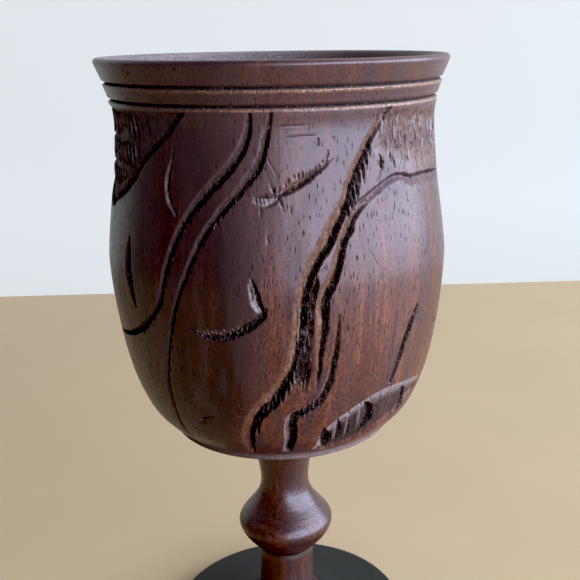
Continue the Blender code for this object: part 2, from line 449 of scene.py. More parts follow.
side = Side(outline[carved_rows], COLUMNS)
grain_fine = side.fibres(0.45, 2.4, 11)
grain_coarse = side.fibres(1.1, 5.5, 12)
chips = side.fibres(0.8, 0.9, 13)
print(f"flat side: {side.deep.shape[0]} rows by {side.deep.shape[1]} columns, {side.down[-1]:.1f} mm down")

# %% Follow a route
class Near:
    """The points near a route: their gap from it, side of it, and place along it."""

    def __init__(self, route):
        stations = [(math.radians(a) * MEAN_RADIUS, float(side.down_at(h)), w) for a, h, w in route]
        run = smooth_run(stations, ROUTE_SPACING)
        turn, down, half = run[:, 0] / MEAN_RADIUS, run[:, 1], np.maximum(run[:, 2], THINNEST)
        radius = np.interp(down, side.down, side.radius)
        ahead = np.c_[np.gradient(turn) * radius, -np.gradient(down)]
        steps = np.hypot(*ahead.T)
        ahead /= np.maximum(steps, 1e-6)[:, None]
        travelled = np.cumsum(steps)
        windows = [side.window(t, d, h + BEYOND_CUT) for t, d, h in zip(turn, down, half)]
        edges = np.array(windows)
        self.first, self.left = edges[:, 0].min(), edges[:, 2].min()
        shape = (edges[:, 1].max() - self.first, edges[:, 3].max() - self.left)
        self.gap, self.across = np.full(shape, FAR_AWAY), np.zeros(shape)
        self.along, self.half = np.zeros(shape), np.full(shape, THINNEST)
        step = math.tau / len(side.turn)
        for number, (top, bottom, left, right) in enumerate(windows):
            here = np.s_[top - self.first : bottom - self.first, left - self.left : right - self.left]
            x = (np.arange(left, right) * step - turn[number])[None, :] * side.radius[top:bottom, None]
            y = (down[number] - side.down[top:bottom])[:, None]
            gap = np.hypot(x, y)
            closer = gap < self.gap[here]
            self.gap[here][closer] = gap[closer]
            forward_x, forward_y = ahead[number]
            self.across[here][closer] = (forward_x * y - forward_y * x)[closer]
            self.along[here][closer] = (travelled[number] + forward_x * x + forward_y * y)[closer]
            self.half[here][closer] = half[number]
        self.length = travelled[-1]
        rows = np.arange(self.first, self.first + shape[0])
        columns = np.arange(self.left, self.left + shape[1]) % len(side.turn)
        self.patch = np.ix_(rows, columns)


WANDER_CELLS = 400


def wander(along, cell, seed):
    """Smooth random numbers from -1 to 1 along a cut."""
    values = np.random.default_rng(seed).uniform(-1, 1, WANDER_CELLS)
    return np.interp(along / cell, np.arange(WANDER_CELLS), values)


print(f"routes are followed in steps of {ROUTE_SPACING} mm")

# %% [markdown]
# ## The tools
# Three marks make all of this carving. The gouge cut has a sloping left bank, where the tool slid in, a
# torn floor, and a steep right wall. The nick is a short stab with the corner of a chisel. The recess is
# ground pared down between cuts, with the slope kept at its edge. Where a cut goes across the grain the
# fibres tear, so the floor of each cut is roughened with noise that is long down the grain. Stain
# settles in the deep places and wears off the sloping ones. The dark mask holds that together with
# painted shade on the floor and right wall of each cut, and the bare mask holds the wear together with
# painted light on the left bank, which faces the window.

# %% Gouge, nick and recess
def gouge(route, depth, bank=0.32, wall=0.10, ragged=0.05, torn=0.25, stain_and_shade=1.0, bare=1.0, pale=0.0,
          shade=0.0, seed=1):
    """Cut a route: bank and wall are the shares of the width that the left slope and right wall take."""
    near = Near(route)
    rough = near.half * ragged * 1.4
    left = near.half + rough * wander(near.along, 1.1, seed)
    left = left + 0.4 * rough * wander(near.along, 0.4, seed + 1)
    right = near.half + rough * wander(near.along, 0.9, seed + 2)
    right = right + 0.4 * rough * wander(near.along, 0.35, seed + 3)
    first_bank, last_bank = bank if isinstance(bank, tuple) else (bank, bank)
    bank = first_bank + (last_bank - first_bank) * ease(near.along / near.length * 1.8)
    from_left = (near.across + left) / (2 * near.half)
    from_right = (right - near.across) / (2 * near.half)
    within_ends = (near.along > -near.half) & (near.along < near.length + near.half)
    inside = (near.gap < near.half * 1.5) & within_ends
    shape = ease(from_left / bank) * ease(from_right / wall) * inside
    fine, coarse, chip = (grain[near.patch] for grain in (grain_fine, grain_coarse, chips))
    tears = 1 + torn * (0.6 * fine + 0.4 * coarse + 0.3 * chip)
    side.raise_to("deep", near.patch, depth * near.half**0.7 * shape * tears)
    # Stain and painted shade darken the floor and the right wall, which faces away from the window. Wear
    # and painted light lighten the left bank, which faces it, and pale paints a highlight on the slope.
    floor = ease((from_left - bank * 0.85) / 0.12) * (from_right > -0.03) * inside
    slope = ease(from_left / 0.1) * (1 - floor) * ease(from_right / 0.1) * inside
    side.raise_to("dark", near.patch, floor * stain_and_shade + slope * shade)
    inner = slope * np.clip(from_left / bank, 0.15, 1) * np.clip(near.half, 0, 1)
    side.raise_to("bare", near.patch, inner * bare * (1 - pale))
    side.raise_to("pale", near.patch, slope * pale)
    side.raise_to("fuzz", near.patch, shape)


def nick(turn, height, length, half=0.35, lean=0.0, depth=0.9, stain_and_shade=1.0):
    """One stab of the chisel's corner, from its top down, leaning by that many degrees of turn."""
    route = [(turn, height, 0.08), (turn + lean * 0.4, height - length * 0.4, half),
             (turn + lean, height - length, 0.05)]
    gouge(route, depth, bank=0.45, wall=0.4, ragged=0.1, torn=0.1, stain_and_shade=stain_and_shade, seed=int(height * 7) % 97)


def ridge(turn, height, length, half=0.16, lean=0.0, bright=1.0):
    """A splinter left standing between two stabs, with a painted highlight on its top."""
    near = Near([(turn, height, half * 0.4), (turn + lean / 2, height - length / 2, half),
                 (turn + lean, height - length, half * 0.3)])
    top = ease((near.half - near.gap) / near.half + 0.25)
    side.deep[near.patch] *= 1 - 0.55 * top
    side.dark[near.patch] *= 1 - 0.9 * top
    side.raise_to("pale", near.patch, top * bright)


def within_corners(place, x, y, sloped, steeper):
    """Which points the outline holds, how far in they are, and whether a sloped edge is the nearest."""
    within, gap, by_slope = np.zeros(x.shape, bool), np.full(x.shape, FAR_AWAY), np.ones(x.shape)
    for number, ((x0, y0), (x1, y1)) in enumerate(zip(place, np.roll(place, -1, axis=0))):
        crosses = (y0 > y) != (y1 > y)
        within ^= crosses & (x < (x1 - x0) * (y - y0) / (y1 - y0 + 1e-9) + x0)
        run_x, run_y = x1 - x0, y1 - y0
        share = np.clip(((x - x0) * run_x + (y - y0) * run_y) / (run_x**2 + run_y**2), 0, 1)
        off = np.hypot(x - x0 - share * run_x, y - y0 - share * run_y) * (1 if number < sloped else steeper)
        by_slope = np.where(off < gap, number < sloped, by_slope)
        gap = np.minimum(gap, off)
    return within, gap, by_slope


def recess(corners, depth, ramp, roughness=0.3, stain_and_shade=0.4, bare=0.5, pale=0.0, sloped=99, sheer=0.3):
    """Pare down the ground in these corners. The first edges slope for that width, the rest drop sheer."""
    corners = np.array(corners, float)
    place = np.c_[np.radians(corners[:, 0]) * MEAN_RADIUS, -side.down_at(corners[:, 1])]
    step = math.tau / len(side.turn)
    left = math.floor(place[:, 0].min() / MEAN_RADIUS / step) - 1
    right = math.ceil(place[:, 0].max() / MEAN_RADIUS / step) + 2
    first, last = np.searchsorted(side.down, [-place[:, 1].max() - 0.3, -place[:, 1].min() + 0.3])
    x = (np.arange(left, right) * step * MEAN_RADIUS)[None, :] + np.zeros((last - first, 1))
    y = -side.down[first:last, None] + np.zeros((1, right - left))
    within, gap, by_slope = within_corners(place, x, y, sloped, ramp / sheer)
    patch = np.ix_(np.arange(first, last), np.arange(left, right) % len(side.turn))
    inward = np.where(within, gap + 0.25 * chips[patch] * ease(gap), 0)
    shape = ease(inward / ramp)
    rough = roughness * (0.6 * grain_fine[patch] + 0.5 * grain_coarse[patch] + 0.3 * chips[patch])
    floor = ease(inward / ramp - 0.5)
    side.raise_to("deep", patch, shape * (depth + rough))
    # Stain and painted shade darken the floor of the pared ground, and pale paints a highlight on its
    # sloped edges.
    side.raise_to("dark", patch, floor * stain_and_shade)
    side.raise_to("bare", patch, shape * (1 - 0.5 * floor) * bare)
    side.raise_to("pale", patch, ease(inward / 0.3) * (1 - floor) * by_slope * pale)
    side.raise_to("fuzz", patch, shape)


print("tools ready")

# %% [markdown]
# ## The drawing
# The carving is a pair of plant stems that sweep down from the rim, part, and meet again near the foot,
# with small leaves and curls between them, and two patches of roughened ground. Stations are the turn
# round the cup in degrees, 0 in front and growing to the right, the height in millimetres, and half
# the width of the cut. They were set one cut after another, as a carver would copy a drawing.

# %% The pared ground
recess([(36.5, 144.2), (43, 144.2), (55, 144), (79, 143.4), (81, 128), (62.5, 129.5), (54, 129.6),
       (46, 131.4), (40, 132.2), (34.5, 133.5), (31.5, 135.5), (32.5, 138), (34.5, 141.5)], 0.6, 4.0,
       0.45, 0.1, 0.35)
recess([(-27, 144.3), (-31.5, 142.3), (-36, 139), (-41.5, 136.5), (-46.5, 133.5), (-51.5, 130),
       (-58, 126.5), (-67, 124), (-71.5, 122), (-84, 124), (-96, 131), (-104, 138), (-108, 144.2),
       (-70, 144.3)], 0.7, 1.2, 0.1, 0.32, 0.0)
recess([(12, 68), (14.5, 74.4), (20, 77.8), (25.5, 80), (32.5, 82), (38.5, 82.6), (46, 82.4), (57, 81.5),
       (64, 80), (62, 76.5), (52, 73), (43, 70.6), (36, 68.8), (29.5, 67.6), (24, 67), (18, 66.7)], 0.75,
       2.8, 0.15, 0.6, 0.1, pale=0.9, sloped=8, sheer=1.6)
recess([(11.3, 111), (10.6, 107), (10.0, 102.5), (9.7, 98), (9.3, 95), (8.6, 89), (6.4, 87.5), (4.2, 90),
       (5.4, 95), (6.8, 100), (7.6, 104), (8.6, 108.5)], 0.95, 0.3, 0.6, 0.9, 0.1)
print(f"pared ground covers {np.mean(side.fuzz > 0.5) * 100:.0f}% of the side")

# %% The two stems
MAIN_STEM = [
    (38, 144.2, 0.9), (34, 141, 0.9), (30, 138, 1.0), (26, 134, 1.2), (23, 130.5, 1.3), (20, 125.5, 1.4),
    (16.5, 121.5, 1.8), (14.5, 119, 1.9), (11.5, 116, 1.6), (9, 113, 1.5), (6.2, 107, 1.55),
    (5.5, 100.5, 1.5), (3.9, 96, 1.5), (2.5, 91.5, 1.3), (-0.3, 88, 1.6), (-4, 84, 2.0), (-7.5, 81.5, 1.9),
    (-10.5, 79, 1.7), (-13, 75, 1.6), (-14, 72, 1.6), (-14, 68.5, 1.0)]
RIM_STEM = [
    (23.5, 123.4, 0.5), (26, 124.9, 1.0), (30.5, 126.5, 1.15), (34.5, 127.8, 1.1), (39.5, 129.2, 1.0),
    (44, 129.2, 1.1), (49.5, 128, 1.5), (57, 127.7, 1.9), (67, 127.4, 1.6), (80.5, 127.3, 0.6)]
CROSS_STEM = [
    (29, 125.6, 0.2), (26, 124.6, 0.7), (23, 122.8, 1.0), (21, 120.5, 1.4), (19, 118.5, 1.4),
    (16.5, 112.5, 1.3), (14.5, 109.5, 1.5), (12.5, 106.5, 1.5), (12.3, 100, 1.4), (11.8, 95.5, 0.9),
    (11.5, 91, 0.7), (11, 85.5, 0.1)]
SHORT_STEM = [
    (18, 103, 0.1), (17.5, 99.5, 0.5), (17, 95, 0.8), (16, 90.5, 0.8), (15, 87, 1.0), (12.5, 83.5, 1.0),
    (8, 81, 1.0), (3.5, 79.5, 1.2), (2.5, 77.5, 1.4), (2.5, 73, 1.4), (1.5, 69, 1.1)]
OUTER_TENDRIL = [
    (-7.5, 144, 0.5), (-9, 139, 0.9), (-13.5, 134, 1.1), (-21, 129, 1.1), (-27.5, 124, 0.9),
    (-32, 119, 0.8), (-36, 112, 0.8), (-39, 105, 0.8), (-44, 100.5, 0.8), (-50, 97, 0.8),
    (-58, 94.5, 0.7), (-66, 93, 0.5)]
INNER_TENDRIL = [
    (-1.3, 144, 0.5), (-3, 139, 0.8), (-5.5, 134, 0.95), (-10.5, 129.5, 0.9), (-17.5, 124.5, 0.8),
    (-23, 119.5, 0.7), (-27, 114, 0.6), (-31, 107.5, 0.5), (-35, 100.5, 0.5), (-39.5, 90.5, 0.45),
    (-41.5, 86, 0.45), (-42, 82, 0.45), (-42.5, 77.5, 0.45), (-43, 73, 0.4), (-41.5, 69.5, 0.2)]
gouge(RIM_STEM, 0.7, bank=0.84, torn=0.3, stain_and_shade=0.8, bare=0.0, pale=0.08, seed=91)
gouge(MAIN_STEM, 1.1, bank=(0.95, 0.66), wall=0.05, torn=0.35, seed=3)
gouge(CROSS_STEM, 1.1, bank=(0.9, 0.62), wall=0.06, torn=0.35, seed=9)
gouge(SHORT_STEM[:6], 1.1, bank=0.46, torn=0.3, seed=15)
gouge(SHORT_STEM[4:], 1.1, bank=0.46, ragged=0.06, torn=0.3, pale=0.6, seed=16)
gouge(OUTER_TENDRIL, 1.0, bank=(0.56, 0.26), wall=0.12, ragged=0.08, torn=0.3, stain_and_shade=0.85, bare=0.26,
      shade=0.45, seed=21)
gouge(INNER_TENDRIL, 1.0, bank=(0.60, 0.30), wall=0.12, ragged=0.08, torn=0.3, stain_and_shade=0.85, bare=0.3,
      shade=0.4, seed=27)
print(f"stems cut to {side.deep.max():.2f} mm")

# %% Leaves, curls and scratches
gouge([(17.5, 134.7, 0.06), (14.5, 133.2, 0.32), (11.5, 132, 0.55), (8, 130.6, 0.75), (4, 129.2, 0.8),
      (-0.5, 128.1, 0.55), (-7, 127.8, 0.08)], 0.8, bank=0.4, wall=0.15, stain_and_shade=0.85, seed=33)
gouge([(1.5, 128.6, 0.3), (-1, 127.2, 1.0), (-4, 126.4, 0.9), (-7, 126.8, 0.2)], 0.35, bank=0.8, wall=0.3,
      stain_and_shade=0.2, pale=0.7, seed=35)
gouge([(-8, 111.2, 0.3), (-7.6, 109, 1.0), (-6.8, 106.5, 1.15), (-5.6, 104.3, 0.9)], 0.8, bank=0.6,
      wall=0.15, ragged=0.1, pale=0.45, seed=39)
gouge([(-4.2, 105, 0.3), (-5.4, 103.8, 1.0), (-7.5, 102.6, 1.3), (-11, 101, 1.35), (-14.5, 99.6, 1.2),
      (-19, 98.6, 0.85), (-23.5, 98.6, 0.6), (-28.5, 100, 0.1)], 0.8, bank=0.35, wall=0.2, ragged=0.1,
      stain_and_shade=0.9, bare=0.3, seed=40)
gouge([(49.5, 101, 0.15), (49, 100, 0.7), (46, 96, 1.1), (44, 92.5, 1.0), (42.5, 88.5, 0.9),
      (40.5, 84, 0.6)], 0.8, bank=0.5, wall=0.15, ragged=0.06, seed=45)
gouge([(-33, 137, 0.1), (-34, 134.5, 0.25), (-35.6, 131.5, 0.6), (-36, 128.5, 0.75), (-35, 126, 0.7),
      (-32.5, 123.5, 0.4)], 0.8, bank=0.5, wall=0.12, ragged=0.1, torn=0.4, stain_and_shade=0.85, bare=0.4,
      pale=0.15, seed=51)
gouge([(-53.5, 117, 0.3), (-54, 114, 1.0), (-54, 109.5, 1.3), (-53, 106, 1.0), (-51.5, 102, 0.3)], 0.7,
      bank=0.12, wall=0.2, ragged=0.06, stain_and_shade=0.85, bare=0.0, shade=0.8, seed=57)
gouge([(-34.5, 77, 0.2), (-30.5, 76.5, 0.9), (-25.5, 78.5, 0.3)], 0.7, bank=0.5, wall=0.2, seed=63)
for first, last in [((-24, 135.2), (-24.2, 131.5)), ((-0.5, 141.5), (11, 141.6)),
                    ((0, 139.1), (15, 139.6)), ((-4, 137), (1, 131)), ((-6, 136), (-1.5, 130.6)),
                    ((27, 117), (33, 110))]:
    middle = ((first[0] + last[0]) / 2, (first[1] + last[1]) / 2)
    gouge([(*first, 0.03), (*middle, 0.16), (*last, 0.03)], 0.35, bank=0.5, wall=0.5, stain_and_shade=0.7, seed=71)
print("leaves, curls and scratches cut")

# %% Nicks along the cuts
hand = np.random.default_rng(5)
for turn, height in [(15.5, 134.9), (14.2, 134.6), (13, 134), (12, 133.7), (11, 133.5), (10, 133),
                     (9, 132.9), (7.8, 132.3), (6.6, 131.9), (5.2, 131.7), (3.8, 131), (2.4, 130.5),
                     (0.8, 129.9), (-0.8, 129.4)]:
    nick(turn + hand.uniform(-0.3, 0.3), height + hand.uniform(-0.5, 0.7), hand.uniform(1.4, 2.8),
         hand.uniform(0.12, 0.24), hand.uniform(-0.5, 0.5), 1.2)
for turn, height in [(-1.8, 130.2), (-3.6, 128.6), (0.4, 128)]:
    nick(turn, height, 3.2, 0.25, 1.6, 1.0)
for turn in np.arange(-6.4, 1.2, 1.1):
    nick(turn, 127.8 + hand.uniform(-0.3, 0.5), hand.uniform(0.9, 1.8), 0.17, 0.4, 1.0)
for turn, height in [(-5, 125.6), (-3, 120), (4, 126), (13, 139), (16, 136.5), (18, 139), (8, 137.6),
                     (21, 134), (14, 131)]:
    nick(turn, height, hand.uniform(1.2, 2.4), 0.13, 0.1, 0.8)
for turn, height in [(4.6, 92.5), (3.6, 91), (2.4, 89.6), (1.2, 88.4), (-0.2, 87.2), (-1.6, 86),
                     (-3.0, 85), (-4.4, 84), (-5.8, 82.8), (-7.2, 81.6), (-8.6, 80), (-9.8, 78)]:
    nick(turn + 0.7, height + 0.6, hand.uniform(3.6, 5.0), 0.46, hand.uniform(-0.7, 0.1), 1.9)
for turn, height in [(3.2, 88.6), (1.0, 86.2), (-0.6, 85), (-2.2, 84.6), (-3.4, 82.8), (-5, 82.6),
                     (-6.4, 81.2), (-8, 79.4)]:
    ridge(turn, height, hand.uniform(1.8, 3.2), 0.17, hand.uniform(-0.6, 0.1))
for turn, height in [(15.6, 87.4), (14.4, 86), (13, 84.8), (11.4, 84), (9.8, 83.2), (8.2, 82.4),
                     (6.6, 81.8), (5, 81)]:
    nick(turn, height + 0.2, hand.uniform(2.4, 3.8), 0.4, hand.uniform(-0.6, 0.2), 1.6)
for turn, height in [(14.6, 85.4), (12.6, 84), (10.6, 82.8), (7.4, 81.4)]:
    ridge(turn, height, hand.uniform(1.6, 2.6), 0.16, hand.uniform(-0.5, 0.1))
for turn, height, length in [(30.2, 137.6, 3.4), (28.8, 136, 4.4), (27.4, 134.4, 5.4), (26.0, 132.6, 4.6),
                             (25, 131, 5.8), (23.8, 129.2, 5), (22.8, 127.4, 4), (21.6, 125, 3.4)]:
    nick(turn, height, length, 0.42, hand.uniform(0.2, 0.9), 1.6)
for turn in np.arange(5.4, 10.2, 0.55):
    nick(turn + hand.uniform(-0.2, 0.2), hand.uniform(102, 111), hand.uniform(8, 13), 0.2, -0.8, 1.8)
for turn in np.arange(5.8, 10.2, 0.5):
    ridge(turn + hand.uniform(-0.2, 0.2), hand.uniform(98, 108), hand.uniform(4, 9), 0.13, -0.8)
for turn, height in [(-8.6, 110.6), (-7.7, 111), (-6.9, 110.2), (-6.1, 108)]:
    nick(turn, height, hand.uniform(3.5, 5), 0.3, 0.9, 1.5)
for turn in np.arange(-26, -11, 1.3):
    ridge(turn, 99.8 + hand.uniform(-0.3, 0.3) + (turn + 26) * 0.09, hand.uniform(1.0, 1.9), 0.16, 0.4)
nick(11, 112, 7, 0.6, -0.9, 1.6)
for turn in np.arange(5.6, 9.4, 0.9):
    nick(turn, 92 + hand.uniform(-1, 1), hand.uniform(5, 8), 0.3, -1.2, 1.6)
SCOOPS = [
    [(15, 75.0, 0.3), (16, 72.6, 1.5), (17, 70, 1.7), (18, 67.8, 0.7)],
    [(20, 77, 0.2), (21.2, 74.6, 0.8), (22, 72.2, 0.8), (22.4, 69, 0.3)],
    [(24.6, 76, 0.2), (25.6, 74, 0.45), (26.2, 71.4, 0.5), (26.4, 69.6, 0.2)],
    [(31, 79.6, 0.5), (34, 77, 1.5), (34.4, 73.6, 1.7), (31.6, 70.6, 0.5)],
    [(50, 80, 0.3), (53, 78, 1.0), (54.4, 75.4, 1.0), (52.6, 73.4, 0.4)]]
for number, scoop in enumerate(SCOOPS):
    gouge(scoop, 1.5, bank=0.3, wall=0.3, ragged=0.12, torn=0.3, stain_and_shade=0.97, bare=0.4,
          seed=171 + 4 * number)
for turn, height, length in [(19, 77, 7), (23.8, 77.4, 7), (28.4, 79.4, 7)]:
    ridge(turn, height, length, 0.6, 1.2, 0.45)
for turn, height in [(23.4, 79), (27.4, 80.6), (31.4, 81.4)]:
    nick(turn, height, hand.uniform(1.6, 2.4), 0.4, 1.8, 0.9, 0.6)
gouge([(34.6, 134.6, 0.15), (35, 133, 0.5), (35.2, 131.4, 0.15)], 1.4, bank=0.3, wall=0.2, ragged=0.3,
      seed=79)
print("nicks cut")

# %% Torn fibres along the tendrils
TEARS_BETWEEN_STATIONS = 7
DEGREE_WIDTH = 0.68
for frayed in (OUTER_TENDRIL[2:11], INNER_TENDRIL[2:12]):
    for (turn, height, half), (turn_after, height_after, _) in zip(frayed, frayed[1:]):
        for share in hand.uniform(0, 1, TEARS_BETWEEN_STATIONS):
            at_wall = half / DEGREE_WIDTH * hand.uniform(0.9, 1.25)
            x = turn + (turn_after - turn) * share + at_wall
            y = height + (height_after - height) * share
            nick(x, y + 0.2, hand.uniform(0.8, 1.5), 0.15, -0.1, 1.2)
            ridge(x - 0.5, y, hand.uniform(0.5, 1.0), 0.12)
print("tendrils frayed")

# %% Hatching on the pared ground
GROUND_TURNS = (-108, -96, -84, -71, -58, -46, -36, -28)
GROUND_EDGE = (144, 135, 128.5, 126.5, 131, 138, 142.5, 144)
for turn in np.arange(-104, -46, 2.6):
    edge = np.interp(turn, GROUND_TURNS, GROUND_EDGE)
    for top in np.arange(143.4, edge + 1.5, -6):
        length = min(hand.uniform(3.5, 6.5), top - edge)
        lean = hand.uniform(1.0, 2.4)
        nick(turn + hand.uniform(-0.8, 0.8), top - hand.uniform(0, 1.2), length, 0.4, lean, 1.0)
        if turn < -54:
            ridge(turn + 1.4, top - 0.6, length * 0.8, 0.36, lean, 0.35)
for turn in np.arange(33.5, 79, 1.5):
    top = hand.uniform(138, 144)
    nick(turn, top, hand.uniform(3, 8), hand.uniform(0.16, 0.34), hand.uniform(-0.6, 0.6), 1.4,
         hand.uniform(0.3, 1.0))
    if hand.uniform() < 0.6:
        ridge(turn + 0.8, top - hand.uniform(0, 3), hand.uniform(2, 5), 0.22, hand.uniform(-0.5, 0.5))
    if hand.uniform() < 0.5:
        lower = top - hand.uniform(5, 7)
        nick(turn + 0.7, lower, hand.uniform(1.5, 3), 0.3, hand.uniform(0.3, 1), 1.0, 0.8)
gouge([(-28, 144.2, 0.3), (-32.5, 142.3, 1.2), (-37.3, 139.2, 1.4), (-42.8, 136.6, 1.5),
      (-48, 133.6, 1.5), (-53, 130.2, 1.5), (-59.5, 127, 1.5), (-67.5, 124.6, 1.4), (-72, 123, 1.2),
      (-84, 125, 1.0), (-96, 132, 0.9), (-103.5, 139, 0.3)], 0.75, bank=0.3, wall=0.4, ragged=0.06,
      stain_and_shade=0.75, bare=0.0, seed=83)
print(f"hatching cut, {np.mean(side.dark > 0.5) * 100:.0f}% of the side is dark")

# %% [markdown]
# ## Round the back
# The far side carries on in the same manner: the two tendrils cross there once more, and a second
# pair of stems comes down with its leaves. A route is reused by turning it round the cup and
# stretching it a little, the way a carver repeats a motif without tracing it.

# %% Repeat the motif round the back
def moved(route, turn, stretch=1.0):
    """The same route further round the cup, wider or narrower."""
    return [(angle * stretch + turn, height, half) for angle, height, half in route]


gouge(moved(MAIN_STEM, 160, 0.9), 1.0, bank=0.3, wall=0.12, ragged=0.12, torn=0.4, seed=103)
gouge(moved(CROSS_STEM[1:], 162, 0.85), 1.0, bank=0.34, wall=0.14, ragged=0.12, torn=0.4, seed=109)
gouge(moved(SHORT_STEM, 158), 0.95, bank=0.36, wall=0.14, ragged=0.12, torn=0.3, seed=115)
gouge(moved(OUTER_TENDRIL, 128, 0.95), 0.85, bank=0.5, wall=0.22, ragged=0.08, stain_and_shade=0.8, seed=121)
gouge(moved(INNER_TENDRIL, 138, 0.95), 0.85, bank=0.5, wall=0.22, ragged=0.08, stain_and_shade=0.8, seed=127)
gouge(moved(INNER_TENDRIL, -94, 1.1), 0.85, bank=0.5, wall=0.22, ragged=0.08, stain_and_shade=0.8, seed=131)
gouge([(-66, 93, 0.5), (-76, 92.5, 0.7), (-86, 94, 0.7), (-96, 98, 0.6), (-104, 104, 0.3)], 0.8, bank=0.5,
      wall=0.25, stain_and_shade=0.75, seed=135)
gouge([(-118, 118, 0.2), (-114, 114, 0.9), (-112, 109, 1.2), (-114, 104, 0.8), (-118, 101, 0.2)], 0.9,
      bank=0.4, wall=0.3, seed=141)
gouge([(128, 118, 0.2), (122, 116.5, 0.8), (115, 115.8, 0.8), (108, 116.8, 0.15)], 0.8, bank=0.4,
      wall=0.3, seed=147)
gouge([(76, 112, 0.2), (78, 107, 0.9), (77, 102, 1.0), (73, 98, 0.2)], 0.8, bank=0.4, wall=0.3, seed=151)
gouge([(80, 143.6, 0.4), (92, 138, 0.9), (104, 128, 0.9), (110, 118, 0.7), (112, 104, 0.6),
      (106, 92, 0.5), (97, 82, 0.4), (90, 74, 0.15)], 0.9, bank=0.45, wall=0.22, ragged=0.08, seed=157)
recess([(168, 69), (172, 75), (178, 78.5), (188, 80), (198, 79), (205, 76.5), (200, 72), (188, 69.5)],
       1.2, 1.2, 0.5, 0.8, 0.9)
for turn in np.arange(170, 202, 5.5):
    nick(turn, 76.5 + hand.uniform(-1, 1), 4, 0.7, 1.5, 1.3)
for turn, height in [(166, 90), (163, 88), (160.5, 86.4), (158, 84.6), (155.4, 83), (152.6, 80.6),
                     (188, 134), (185.5, 132)]:
    nick(turn, height, hand.uniform(2.4, 3.6), 0.34, hand.uniform(-0.8, 0.2), 1.0)
print(f"carving covers {np.mean(side.deep > 0.1) * 100:.0f}% of the side")

# %% Make the bowl
def fade_at_ends(side):
    """Bring the cuts back to the surface just before the turned line above and the band below."""
    top = ease((side.down - 0.1) / 0.5)
    foot = ease((side.down[-1] - 0.5 - side.down) / 0.6)
    return (top * foot)[:, None]


DEEPEST_CUT = 1.9
FIBRE_HEIGHT = 0.018
# The turn that faces the window: painted light is strongest there and painted shade lies opposite it.
LIT_SIDE_TURN = math.radians(70)
LIT_MOUTH_TURN = math.radians(-130)
FOOT_BAND_HIGHLIGHT = 0.55
fade = fade_at_ends(side)
sunk = np.zeros((len(outline) - 2, COLUMNS))
masks = {name: np.zeros_like(sunk) for name in ("dark", "bare", "pale", "cut")}
rows = slice(carved_rows.start - 1, carved_rows.stop - 1)
fibre_relief = (grain_fine * 0.5 + grain_coarse * 0.5) * FIBRE_HEIGHT
sunk[rows] = np.minimum(side.deep * fade, DEEPEST_CUT) + fibre_relief * fade
masks["dark"][rows] = side.dark * fade
# The lightening of the bank, worn and painted light, fades out below about 82 mm.
wear_and_light = (0.3 + 0.7 * ease((side.height - 72) / 10))[:, None]
masks["bare"][rows] = side.bare * fade * wear_and_light
masks["pale"][rows] = side.pale * fade
# Painted highlight on the band above the foot on the window side, and painted shade over the carving's last
# few millimetres and the band on the far side.
lit_side = ease(0.45 + 0.75 * np.cos(side.turn - LIT_SIDE_TURN))
masks["pale"][rows.stop - 6 : rows.stop + 6] = FOOT_BAND_HIGHLIGHT * lit_side
masks["dark"][rows.stop - 12 : rows.stop + 8] += 0.45 * (1 - lit_side)
masks["cut"][rows] = side.fuzz * fade
ring_heights = outline[1:-1, 1]
outside = np.arange(len(ring_heights)) > np.argmax(ring_heights)
# Painted shade fills each turned line, and a painted highlight lies on the arris under it, brighter on the
# window side.
for line_height in LINE_HEIGHTS:
    from_line = ring_heights - line_height
    masks["dark"][outside & (from_line > -0.3) & (from_line < 0.5)] = 1
    masks["bare"][outside & (from_line > -0.85) & (from_line < -0.4)] = 0.1 + 0.7 * lit_side
# Painted light on the inside of the mouth, strongest at the back left, where the window shines in.
lit_mouth = np.where(outside, 0, ease((ring_heights - 139) / 15))[:, None]
masks["pale"] += 0.8 * lit_mouth * ease(0.2 + np.cos(side.turn - LIT_MOUTH_TURN))
bowl = sweep("carved_bowl", outline, COLUMNS, sunk, masks)
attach(bowl, "root")
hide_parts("bowl")

# %% [markdown]
# ## Stem and foot
# The stem is one turning with a waisted neck, a knop, a crease where the skew was rolled in under it,
# and a short flare onto the foot. The foot is a thin disc with a rounded rim. Both are swept again here
# with many more rings than the frame has, so that their curves catch the light without facets.

# %% Turn the stem and the foot
CREASE_HEIGHT = 26.1
STEM_COLUMNS = 192
FOOT_COLUMNS = 256


def stem_outline():
    """From the top of the upper spigot to the underside of the lower one."""
    neck_and_knop = smooth_run(
        [(8.9, 56.7), (7.5, 54.2), (6.3, 47.4), (6.6, 43.4), (8.3, 40.1), (10.6, 37.2), (11.9, 35.4),
         (12.4, 33.7), (11.7, 31.5), (10.0, 29.1), (7.9, 26.9)], 0.3)
    crease = smooth_run([(7.5, 26.7), (7.1, 26.3), (6.95, 25.9), (7.05, 25.3)], 0.2)
    flare = smooth_run([(7.15, 24.7), (7.1, 19), (7.9, 13), (10.1, 9.8)], 0.4)
    spigot = [(0, 64.7), (4.9, 64.7), (5.2, 64.4), (5.2, 56.75)]
    tenon = [(5.5, 9.75), (5.5, 2.4), (5.2, 2.1), (0, 2.1)]
    return np.vstack([spigot, neck_and_knop, crease, flare, tenon])


def foot_outline():
    """Round the foot's section, starting at the bore and going over the top."""
    bore = [(5.8, 2.5), (5.8, 9.2)]
    crown = smooth_run([(6.0, 9.4), (10.8, 9.4), (17, 7.9), (25, 6.55), (30.15, 5.72)], 0.5)
    rim = round_over((30.15, 4.1), 1.6, 85, -35, 14)
    under = [(30.9, 1.85), (30.65, 1.8), (21, 1.8), (20, 2.4), (6.0, 2.4)]
    return np.vstack([bore, crown, rim, under])


stem_line = stem_outline()
